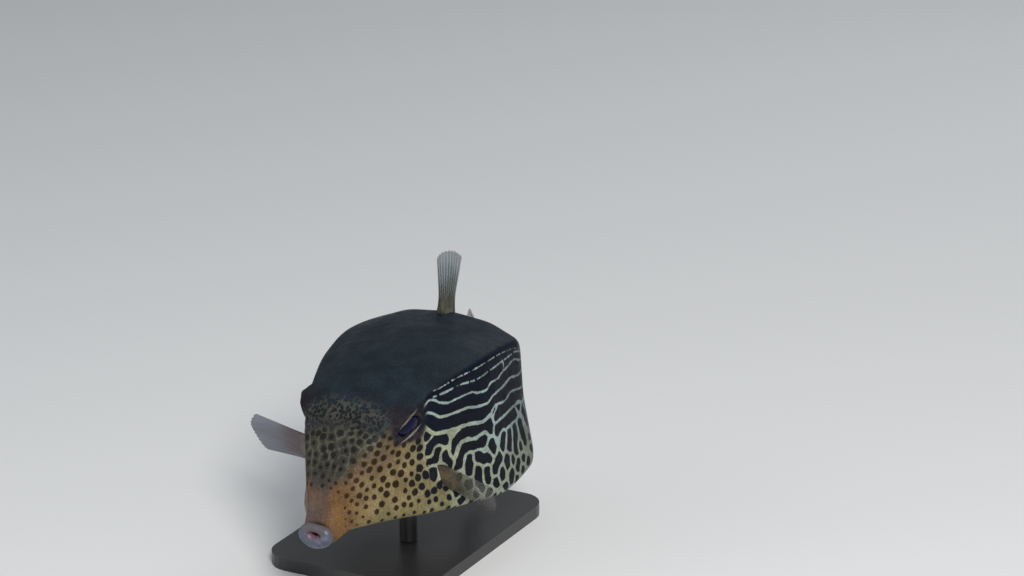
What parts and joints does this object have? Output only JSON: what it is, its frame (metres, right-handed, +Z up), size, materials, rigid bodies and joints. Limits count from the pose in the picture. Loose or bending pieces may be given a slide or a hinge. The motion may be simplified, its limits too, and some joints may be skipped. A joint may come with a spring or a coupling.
{
  "type": "reticulate boxfish display model",
  "caption": "Life-size still model of a male reticulate boxfish, a box-shaped reef fish with spots and wavy lines, held by a plain display stand.",
  "frame": {"origin": "centre of the bounding box in plan, at the underside of the stand's base", "axes": "+Z up, -Y the way the fish faces, +X towards the fish's left side"},
  "size_m": [0.0622, 0.0952, 0.0655],
  "materials": {
    "skin": "dark slate back, navy flanks with pale wavy lines and net, golden brown face with dark spots, low sheen",
    "lip_skin": "pale bluish white with a pink inside, moist",
    "tail_fin_skin": "dark spotted base, thin membrane with raised rays",
    "fin_flesh": "amber fleshy base, pale translucent membrane with raised rays",
    "eye_gloss": "glossy, navy pupil with a thin gold ring",
    "stand_plastic": "satin black"
  },
  "bodies": {
    "root": {"head": "skin", "lips": "lip_skin", "carapace": "skin", "tail_peduncle": "skin", "caudal_fin": "tail_fin_skin", "dorsal_fin": "fin_flesh", "anal_fin": "fin_flesh", "pectoral_fin_left": "fin_flesh", "pectoral_fin_right": "fin_flesh", "eye_left": "eye_gloss", "eye_right": "eye_gloss", "stand_base": "stand_plastic", "stand_rod": "stand_plastic"}
  },
  "joints": []
}
